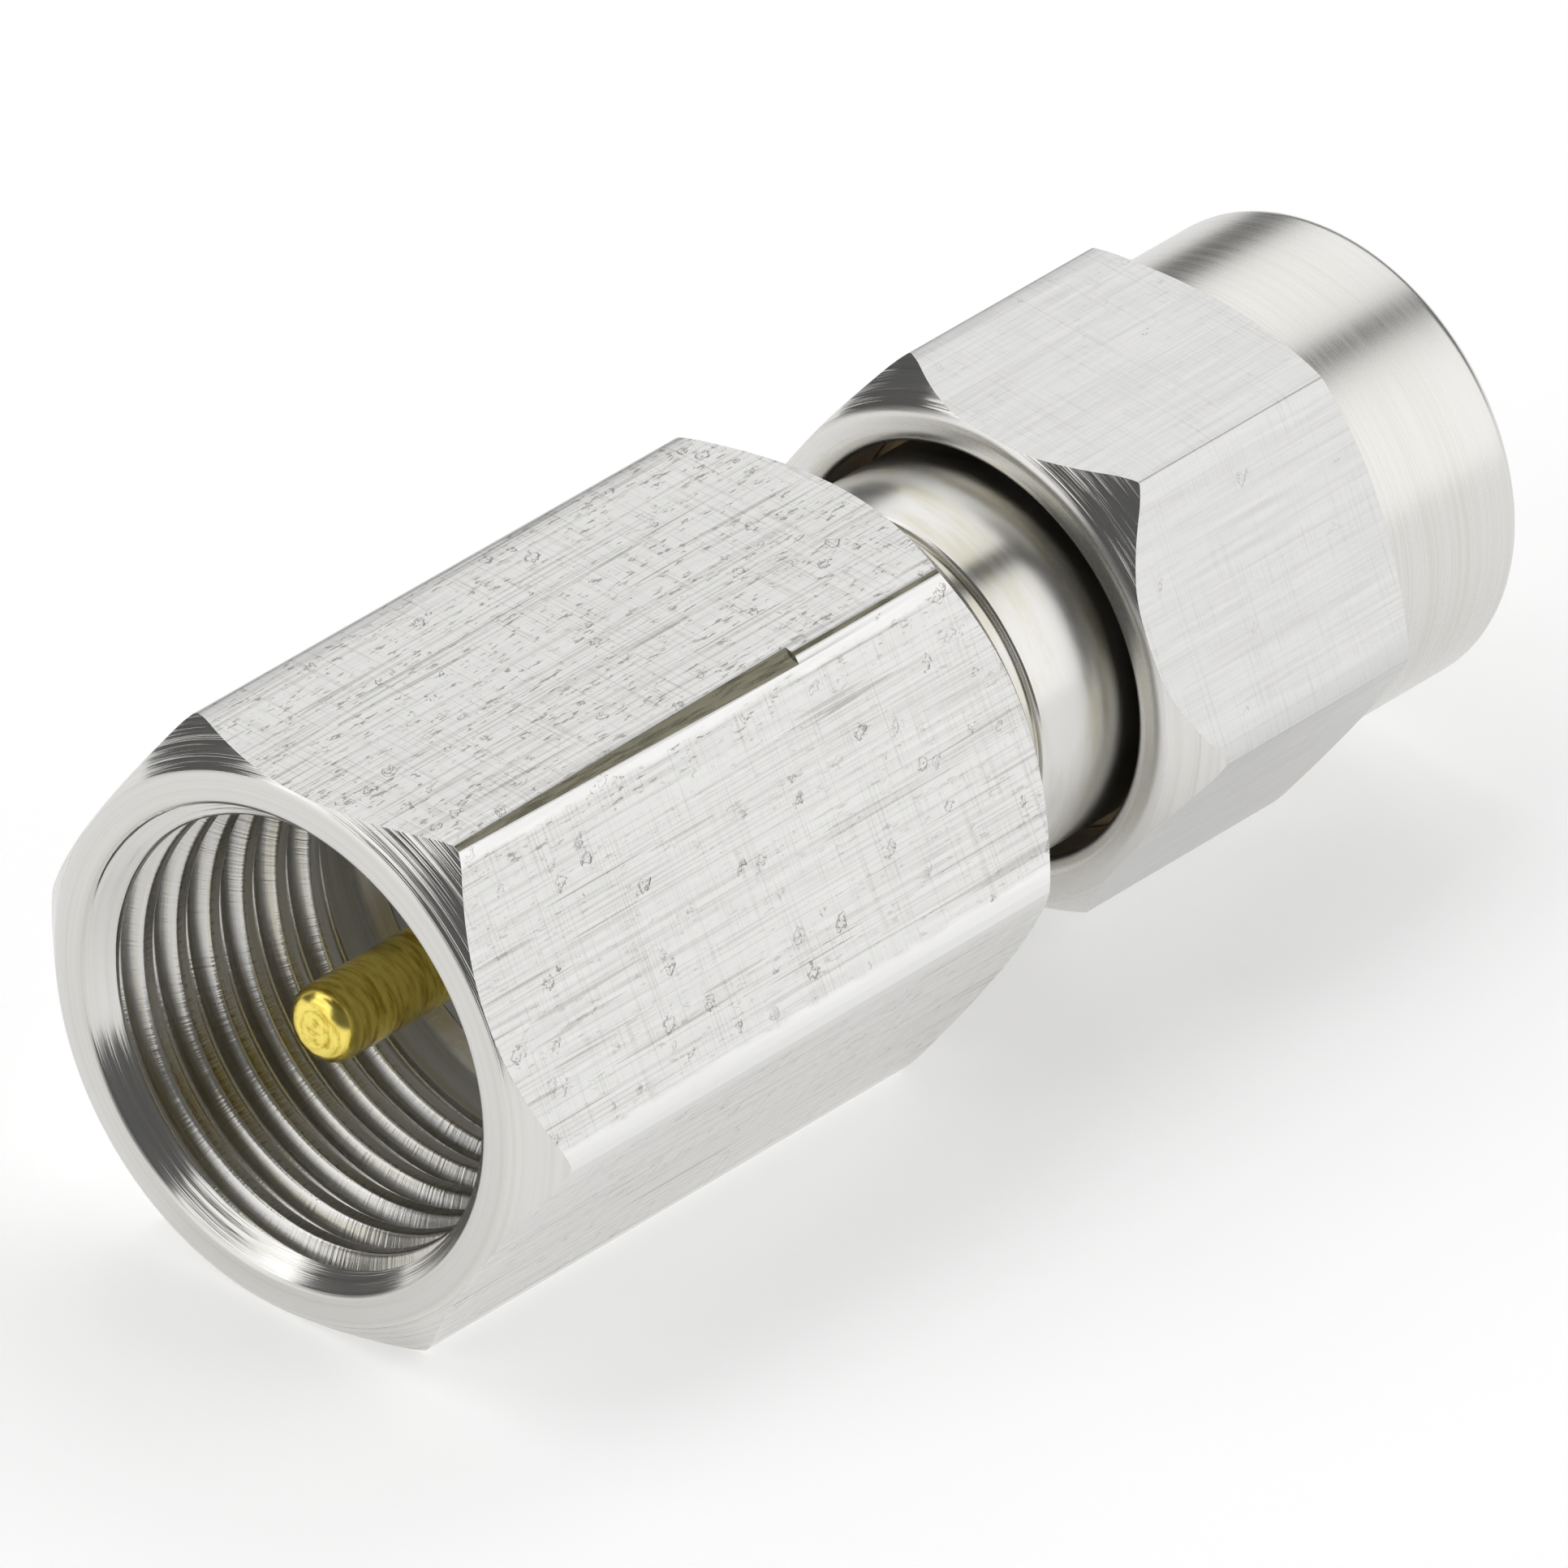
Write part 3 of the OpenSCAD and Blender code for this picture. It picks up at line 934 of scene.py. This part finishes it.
@dataclass
class HexBody:
    """The fixed hex body with the threaded socket, the neck and the outer contact.

    All sizes are in millimetres. The taper lies on the upper front edge and the half strip on the
    front edge, and all six edges have an even strip besides.
    """

    across_flats: float = 9.0
    length: float = 12.4
    stock: Pair = (-2.0, 24.0)
    roll: Pair = (0.4, 0.045)
    taper: Strip = Strip(60, 0.6, 8.3, 5.128, 5.085)
    half_strip: Strip = Strip(0, 6.1, 25, 5.115, 5.115)
    edge_r: float = 5.132
    edge_break: float = 0.035
    lip_r: float = 4.45
    lip_edge: float = 0.2
    lip_round: float = 0.14
    rear_r: float = 4.33
    rear_round: float = 0.06
    blank_r: float = 5.6
    mouth_r: float = 4.0
    lead_round: float = 0.05
    lead_x: float = 0.42
    minor_r: float = 3.594
    relief_x: float = 5.006
    relief_r: float = 4.06
    socket_depth: float = 6.4
    seat_r: float = 3.815
    web_x: Pair = (10.0, 11.0)
    web_r: float = 1.7
    neck_x: float = 13.7
    neck_end: float = 18.26
    neck_r: float = 3.2
    neck_round: float = 0.07
    relief_depth: float = 0.1
    relief_round: float = 0.1
    step_round: float = 0.02
    groove_x: Pair = (16.74, 17.86)
    groove_r: float = 2.465
    shell_r: float = 2.29
    shell_bore_r: float = 2.065
    shell_break: float = 0.1
    tail_x: float = 20.91
    steps: int = 288
    thread: Thread = Thread(0.75, 3.594, 3.93, -0.55, 9)
    mesh: Optional[Piece] = None

    def section(self) -> list[Corner]:
        """Draws the turned blank, before the hex is left on it.

        Returns:
            The corners of its half-section.
        """
        front, back = self.blank_r - self.lip_r, self.length - (self.blank_r - self.rear_r)
        relief = self.neck_r - self.relief_depth
        (groove, groove_end), (web, web_end) = self.groove_x, self.web_x
        return [
            Corner(0.0, self.mouth_r, self.lip_round), Corner(0.0, self.lip_r, self.lip_edge),
            Corner(front, self.blank_r), Corner(back, self.blank_r),
            Corner(self.length, self.rear_r, self.rear_round),
            Corner(self.length, relief, self.relief_round),
            Corner(self.neck_x, relief, self.step_round),
            Corner(self.neck_x, self.neck_r, self.neck_round),
            Corner(groove, self.neck_r), Corner(groove, self.groove_r),
            Corner(groove_end, self.groove_r), Corner(groove_end, self.neck_r),
            Corner(self.neck_end, self.neck_r, self.neck_round),
            Corner(self.neck_end, self.shell_r),
            Corner(self.tail_x - self.shell_break, self.shell_r),
            Corner(self.tail_x, self.shell_r - self.shell_break),
            Corner(self.tail_x, self.shell_bore_r), Corner(web_end, self.shell_bore_r),
            Corner(web_end, self.web_r), Corner(web, self.web_r), Corner(web, self.seat_r),
            Corner(self.socket_depth, self.seat_r), Corner(self.socket_depth, self.relief_r),
            Corner(self.relief_x + self.relief_r - self.minor_r, self.relief_r),
            Corner(self.relief_x, self.minor_r),
            Corner(self.mouth_r - self.minor_r, self.minor_r, self.lead_round),
        ]

    def build(self) -> None:
        """Turns the blank, leaves the hex on it and cuts the thread."""
        body = Bench.turn("hex_body_shell", self.section(), self.steps)
        bar = Bench.hex_bar("hex_stock", self.across_flats, self.stock, 0.0, self.roll)
        ends = self.stock[0] - 1.0, self.stock[1] + 1.0
        even = [Strip(HEX_STEP * edge, *ends, self.edge_r, self.edge_r)
                for edge in range(HEX_SIDES)]
        for strip in (self.taper, self.half_strip, *even):
            Bench.shave(bar, strip)
        Bench.join(body, bar, Join.COMMON)
        least_r, last_x = self.rear_r + 0.03, self.length - 0.05
        Bench.soften(body, self.edge_break,
                     lambda p: math.hypot(p.y, p.z) > least_r and p.x < last_x)
        Bench.join(body, self.thread.groove("socket_groove"), Join.CUT)
        Bench.settle(body)
        self.mesh = body

    def zone(self, middle: Vector, normal: Vector) -> Zone:
        """Says which zone a face is in.

        Args:
            middle: Middle of the face in millimetres.
            normal: Normal of the face.

        Returns:
            The zone.
        """
        radius, outward, flat = measure_face(middle, normal)
        if middle.x > self.length - 0.05 or radius < self.minor_r - 0.1:
            return Zone.PLAIN
        if flat:
            angle = math.degrees(math.atan2(normal.z, -normal.y))
            # The taper strip takes the edge finish, painted dark as a painted reflection.
            return Zone.EDGE if abs(angle - self.taper.angle) < 10.0 else Zone.FLAT
        if outward > 0.6:
            return Zone.CHAMFER
        if outward < 0.0 and 0.06 < middle.x < self.socket_depth - 0.01:
            return Zone.THREAD if middle.x > self.lead_x else Zone.LEAD
        return Zone.LIP

    def dress(self, finishes: dict[Zone, Finish]) -> None:
        """Gives each zone its finish.

        Args:
            finishes: The finish of each zone.
        """
        paint(self.mesh, finishes, self.zone)
        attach(self.mesh, "adapter")
        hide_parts("hex_body")


@dataclass
class CouplingNut:
    """The loose coupling nut: chamfered hex, round nose, stepped bore and thread.

    All sizes are in millimetres, and the turn is in degrees.
    """

    across_flats: float = 8.0
    start: float = 15.5
    end: float = 24.1
    turn: float = 3.0
    stock: Pair = (14.0, 26.0)
    roll: Pair = (0.45, 0.045)
    edge_r: float = 4.557
    edge_break: float = 0.035
    blank_r: float = 5.0
    rear_round: float = 0.28
    rear_slope: float = math.tan(math.radians(58))
    shoulder: float = 21.05
    shoulder_round: float = 0.02
    nose_r: float = 3.88
    nose_round: float = 0.28
    nose_slope: float = math.tan(math.radians(30))
    mouth_r: float = 3.175
    mouth_round: float = 0.05
    minor_r: float = 2.793
    bore_r: float = 3.4
    bore_end: float = 19.66
    bore_round: float = 0.3
    groove_x: Pair = (16.94, 17.66)
    groove_r: float = 3.68
    steps: int = 288
    thread: Thread = Thread(0.7056, 2.793, 3.12, 19.4, 8)
    mesh: Optional[Piece] = None

    def section(self) -> list[Corner]:
        """Draws the turned blank, before the hex is left on it.

        Returns:
            The corners of its half-section.
        """
        flat_r = self.across_flats / 2
        rear = self.start + (self.blank_r - flat_r) * self.rear_slope
        front = self.shoulder - (self.blank_r - self.nose_r) * self.nose_slope
        groove, groove_end = self.groove_x
        return [
            Corner(self.start, self.bore_r, self.bore_round),
            Corner(self.start, flat_r, self.rear_round),
            Corner(rear, self.blank_r), Corner(front, self.blank_r),
            Corner(self.shoulder, self.nose_r, self.shoulder_round),
            Corner(self.end, self.nose_r, self.nose_round),
            Corner(self.end, self.mouth_r, self.mouth_round),
            Corner(self.end - (self.mouth_r - self.minor_r), self.minor_r),
            Corner(self.bore_end + self.bore_r - self.minor_r, self.minor_r),
            Corner(self.bore_end, self.bore_r), Corner(groove_end, self.bore_r),
            Corner(groove_end, self.groove_r), Corner(groove, self.groove_r),
            Corner(groove, self.bore_r),
        ]

    def build(self) -> None:
        """Turns the blank, leaves the hex on it and cuts the thread."""
        nut = Bench.turn("coupling_nut_shell", self.section(), self.steps)
        bar = Bench.hex_bar("nut_stock", self.across_flats, self.stock, self.turn, self.roll)
        ends = self.stock[0] - 1.0, self.stock[1] + 1.0
        for edge in range(HEX_SIDES):
            angle = HEX_STEP * edge - self.turn
            Bench.shave(bar, Strip(angle, *ends, self.edge_r, self.edge_r))
        Bench.join(nut, bar, Join.COMMON)
        least_r = self.nose_r + 0.05
        Bench.soften(nut, self.edge_break, lambda p: math.hypot(p.y, p.z) > least_r)
        Bench.join(nut, self.thread.groove("nut_groove"), Join.CUT)
        Bench.settle(nut)
        self.mesh = nut

    def zone(self, middle: Vector, normal: Vector) -> Zone:
        """Says which zone a face is in.

        Args:
            middle: Middle of the face in millimetres.
            normal: Normal of the face.

        Returns:
            The zone.
        """
        radius, outward, flat = measure_face(middle, normal)
        if radius < self.groove_r + 0.02 and outward < 0.3 and middle.x > self.start + 0.3:
            return Zone.THREAD
        if middle.x > self.shoulder - 0.01:
            return Zone.PLAIN
        if flat:
            return Zone.FLAT
        return Zone.CHAMFER if outward > 0.7 else Zone.LIP

    def dress(self, finishes: dict[Zone, Finish]) -> None:
        """Gives each zone its finish.

        Args:
            finishes: The finish of each zone.
        """
        paint(self.mesh, finishes, self.zone)
        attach(self.mesh, "nut")
        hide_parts("coupling_nut")


@dataclass
class CentreContact:
    """The gold contact with a pin at each end. All sizes are in millimetres."""

    tip_x: float = 0.76
    tip_round: float = 0.34
    pin_r: float = 0.635
    pin_end: float = 6.4
    shank_r: float = 0.8
    collar_x: Pair = (10.015, 10.985)
    collar_r: float = 1.1
    core_r: float = 0.635
    core_end: float = 20.91
    thin_pin_r: float = 0.46
    thin_pin_round: float = 0.3
    end_x: float = 23.21
    steps: int = 96
    mesh: Optional[Piece] = None

    def section(self) -> list[Corner]:
        """Draws the contact.

        Returns:
            The corners of its half-section.
        """
        collar, collar_end = self.collar_x
        return [
            Corner(self.tip_x, 0.0), Corner(self.tip_x, self.pin_r, self.tip_round),
            Corner(self.pin_end, self.pin_r), Corner(self.pin_end, self.shank_r),
            Corner(collar, self.shank_r), Corner(collar, self.collar_r),
            Corner(collar_end, self.collar_r), Corner(collar_end, self.core_r),
            Corner(self.core_end, self.core_r), Corner(self.core_end, self.thin_pin_r),
            Corner(self.end_x, self.thin_pin_r, self.thin_pin_round), Corner(self.end_x, 0.0),
        ]

    def build(self) -> None:
        """Turns the contact."""
        self.mesh = Bench.turn("contact_pin", self.section(), self.steps)
        Bench.settle(self.mesh)

    def dress(self, plate: TurnedPlate) -> None:
        """Gives the contact its gold plate.

        Args:
            plate: Finish of the whole contact.
        """
        paint(self.mesh, {Zone.PLAIN: plate}, lambda middle, normal: Zone.PLAIN)
        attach(self.mesh, "adapter")
        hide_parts("centre_contact")


@dataclass
class Inserts:
    """The insulators, the gasket and the snap ring, whose solids are kept as they are."""

    nodes: dict[str, Piece]

    def dress(self, insulator: SoftPlain, rubber: SoftPlain, spring: TurnedPlate) -> None:
        """Gives the solids their finishes.

        Args:
            insulator: Finish of both insulators.
            rubber: Finish of the gasket.
            spring: Finish of the snap ring.
        """
        white = insulator.material()
        finishes = {"fme_insulator": white, "sma_insulator": white, "gasket": rubber.material(),
                    "snap_ring": spring.material()}
        for name, material in finishes.items():
            solid = self.nodes[name]
            if not solid.material_slots:
                solid.data.materials.append(material)
            for slot in solid.material_slots:
                slot.material = material
            log.info("dressed %s", name)


# Studio


@dataclass(frozen=True)
class Lamp:
    """A soft square lamp that points at the adapter.

    It is given by its direction from the adapter, its distance and side in metres, and how bright
    its face is, where a white wall in plain light is 1.
    """

    name: str
    direction: Colour
    distance: float
    size: float
    level: float

    def build(self) -> None:
        """Adds the lamp."""
        towards = Vector(self.direction).normalized()
        Bench.clear()
        bpy.ops.object.light_add(type="AREA", location=towards * self.distance)
        lamp = bpy.context.object
        lamp.name = lamp.data.name = self.name
        lamp.data.size = self.size
        lamp.data.energy = self.level * math.pi * self.size * self.size
        lamp.rotation_euler = towards.to_track_quat("Z", "Y").to_euler()
        lamp.visible_camera = False


@dataclass
class Studio:
    """The floor, the light and the camera, which is given by where it sees the frame's origin."""

    floor_z: float = -4.5 * MM
    floor_radius: float = 1.5
    floor_white: float = 0.97
    floor_glow: float = 0.38
    surround: float = 0.12
    azimuth: float = -51.372
    elevation: float = 32.780
    roll: float = 3.949
    origin_px: Pair = (344.78, 1293.74)
    px_per_mm: float = 83.192
    distance: float = 596.1
    clip: Pair = (10 * MM, 20.0)
    lamps: tuple[Lamp, ...] = (
        Lamp("overhead", (-0.12, 0.5, 0.86), 0.7, 0.62, 1.2),
        Lamp("right_back", (0.657, 0.35, 0.667), 0.6, 0.47, 1.1),
        Lamp("right_front", (0.69, -0.64, 0.42), 0.6, 0.53, 1.15),
        Lamp("left_back", (-0.85, 0.36, 0.41), 0.65, 0.58, 1.15),
    )

    def axes(self) -> tuple[Vector, Vector, Vector]:
        """Works out how the camera is turned.

        Returns:
            Its right, up and back directions.
        """
        a, e, r = (math.radians(v) for v in (self.azimuth, self.elevation, self.roll))
        back = Vector((math.sin(a) * math.cos(e), -math.cos(a) * math.cos(e), math.sin(e)))
        right = Vector((math.cos(a), math.sin(a), 0.0))
        up = back.cross(right)
        return math.cos(r) * right + math.sin(r) * up, math.cos(r) * up - math.sin(r) * right, back

    def camera(self) -> None:
        """Adds the camera at the photograph's angle."""
        right, up, back = self.axes()
        middle = PHOTO_PX / 2
        aside = (self.origin_px[0] - middle) / self.px_per_mm
        above = (middle - self.origin_px[1]) / self.px_per_mm
        place = (back * self.distance - right * aside - up * above) * MM
        Bench.clear()
        bpy.ops.object.camera_add(location=place)
        camera = bpy.context.object
        camera.name = "photo_camera"
        turned = Matrix((right, up, back)).transposed().to_4x4()
        camera.matrix_world = Matrix.Translation(place) @ turned
        camera.data.sensor_width = SENSOR_MM
        camera.data.lens = self.px_per_mm * self.distance * SENSOR_MM / PHOTO_PX
        camera.data.clip_start, camera.data.clip_end = self.clip
        bpy.context.scene.camera = camera

    def floor(self) -> None:
        """Adds the pale floor, which the camera and the metal see brighter than it is lit."""
        Bench.clear()
        bpy.ops.mesh.primitive_circle_add(
            vertices=96, radius=self.floor_radius, fill_type="NGON",
            location=(0, 0, self.floor_z))
        floor = bpy.context.object
        floor.name = "floor"
        bpy.ops.object.transform_apply(location=True, rotation=True, scale=True)
        n = Nodes("pale_floor")
        n.feed("Base Color", (self.floor_white, self.floor_white, self.floor_white, 1.0))
        n.feed("Roughness", 0.9)
        n.feed("Specular IOR Level", 0.0)
        path = n.add("ShaderNodeLightPath")
        seen = n.plus(path.outputs["Is Camera Ray"], path.outputs["Is Glossy Ray"])
        seen = n.plus(seen, path.outputs["Is Transmission Ray"])
        n.feed("Emission Color", WHITE)
        n.feed("Emission Strength", n.times(seen, self.floor_glow))
        floor.data.materials.append(n.material)

    def world(self) -> None:
        """Sets the dark surround of the studio."""
        world = bpy.data.worlds.new("studio_surround")
        bpy.context.scene.world = world
        world.use_nodes = True
        background = world.node_tree.nodes["Background"]
        background.inputs["Color"].default_value = WHITE
        background.inputs["Strength"].default_value = self.surround

    def build(self) -> None:
        """Sets up the whole studio."""
        self.floor()
        self.world()
        for lamp in self.lamps:
            lamp.build()
        self.camera()
        bpy.context.scene.view_settings.view_transform = "Standard"


def main() -> None:
    """Builds the adapter and its studio."""
    logging.basicConfig(level=logging.INFO, format="%(message)s")
    dressed = ((HexBody(), BODY_FINISHES), (CouplingNut(), NUT_FINISHES),
               (CentreContact(), GOLD_PLATE))
    for part, finish in dressed:
        part.build()
        part.dress(finish)
        log.info("built %s with %d faces", part.mesh.name, len(part.mesh.data.polygons))
    Inserts(frame["nodes"]).dress(WAXY_WHITE, RED_RUBBER, SPRING_BRONZE)
    Studio().build()


if __name__ == "__main__":
    main()
